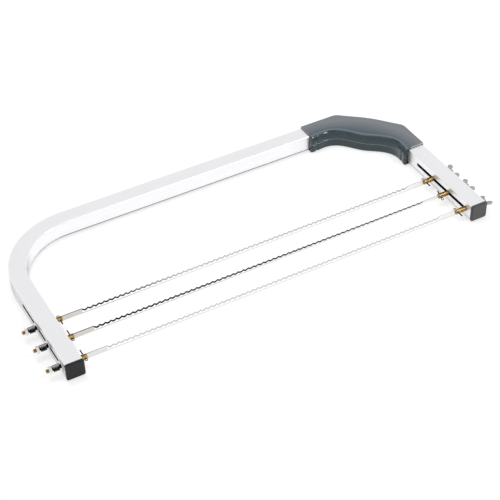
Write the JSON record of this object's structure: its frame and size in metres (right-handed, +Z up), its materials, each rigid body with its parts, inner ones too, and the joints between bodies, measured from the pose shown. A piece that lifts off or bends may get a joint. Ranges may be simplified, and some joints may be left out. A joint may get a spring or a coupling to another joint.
{
  "type": "cake leveler",
  "caption": "Bent square-tube bow with a moulded finger grip on one corner and scalloped blades that slide along slots in both arms.",
  "frame": {"origin": "on the worktop, below the middle of the bounding box, with the tool lying flat", "axes": "+X along the blades towards the arm with the grip, +Y from the open ends of the arms to the back of the bow, +Z up"},
  "size_m": [0.547, 0.2318, 0.0236],
  "materials": {
    "tube": "satin, drawn along its length",
    "plug": "black moulded plastic",
    "grip": "glossy slate blue moulding",
    "blade": "satin stainless steel",
    "holder": "turned brass",
    "pin": "dark drawn wire",
    "spring": "black oiled wire",
    "fastener": "bright nickel plate"
  },
  "bodies": {
    "bow": {"frame_tube": "tube", "left_end_plug": "plug", "right_end_plug": "plug", "grip_upper": "grip", "grip_lower": "grip", "grip_screws": "fastener"},
    "front_blade_set": {"front_blade": "blade", "front_left_holder": "holder", "front_right_holder": "holder", "front_left_pin": "pin", "front_right_pin": "pin", "front_left_washer": "fastener", "front_tension_spring": "spring", "front_right_washer": "fastener"},
    "front_tension_nut": {"front_tension_nut": "fastener"},
    "front_wing_nut": {"front_wing_nut": "fastener"},
    "middle_blade_set": {"middle_blade": "blade", "middle_left_holder": "holder", "middle_right_holder": "holder", "middle_left_pin": "pin", "middle_right_pin": "pin", "middle_left_washer": "fastener", "middle_tension_spring": "spring", "middle_right_washer": "fastener"},
    "middle_tension_nut": {"middle_tension_nut": "fastener"},
    "middle_wing_nut": {"middle_wing_nut": "fastener"},
    "rear_blade_set": {"rear_blade": "blade", "rear_left_holder": "holder", "rear_right_holder": "holder", "rear_left_pin": "pin", "rear_right_pin": "pin", "rear_left_washer": "fastener", "rear_tension_spring": "spring", "rear_right_washer": "fastener"},
    "rear_tension_nut": {"rear_tension_nut": "fastener"},
    "rear_wing_nut": {"rear_wing_nut": "fastener"}
  },
  "joints": [
    {"name": "front_blade_slide", "type": "slide", "parent": "bow", "child": "front_blade_set", "axis": [0, 1, 0], "range_m": [-0.001, 0.006]},
    {"name": "middle_blade_slide", "type": "slide", "parent": "bow", "child": "middle_blade_set", "axis": [0, 1, 0], "range_m": [-0.0065, 0.0045]},
    {"name": "rear_blade_slide", "type": "slide", "parent": "bow", "child": "rear_blade_set", "axis": [0, 1, 0], "range_m": [-0.005, 0.0305]},
    {"name": "front_tension_nut_turn", "type": "hinge", "parent": "front_blade_set", "child": "front_tension_nut", "pos_m": [-0.2691, -0.1024, 0.0118], "axis": [-1, 0, 0], "continuous": true},
    {"name": "middle_tension_nut_turn", "type": "hinge", "parent": "middle_blade_set", "child": "middle_tension_nut", "pos_m": [-0.2691, -0.0689, 0.0118], "axis": [-1, 0, 0], "continuous": true},
    {"name": "rear_tension_nut_turn", "type": "hinge", "parent": "rear_blade_set", "child": "rear_tension_nut", "pos_m": [-0.2691, -0.0384, 0.0118], "axis": [-1, 0, 0], "continuous": true},
    {"name": "front_wing_nut_turn", "type": "hinge", "parent": "front_blade_set", "child": "front_wing_nut", "pos_m": [0.2649, -0.1024, 0.0118], "axis": [1, 0, 0], "continuous": true},
    {"name": "middle_wing_nut_turn", "type": "hinge", "parent": "middle_blade_set", "child": "middle_wing_nut", "pos_m": [0.2649, -0.0689, 0.0118], "axis": [1, 0, 0], "continuous": true},
    {"name": "rear_wing_nut_turn", "type": "hinge", "parent": "rear_blade_set", "child": "rear_wing_nut", "pos_m": [0.2649, -0.0384, 0.0118], "axis": [1, 0, 0], "continuous": true}
  ]
}
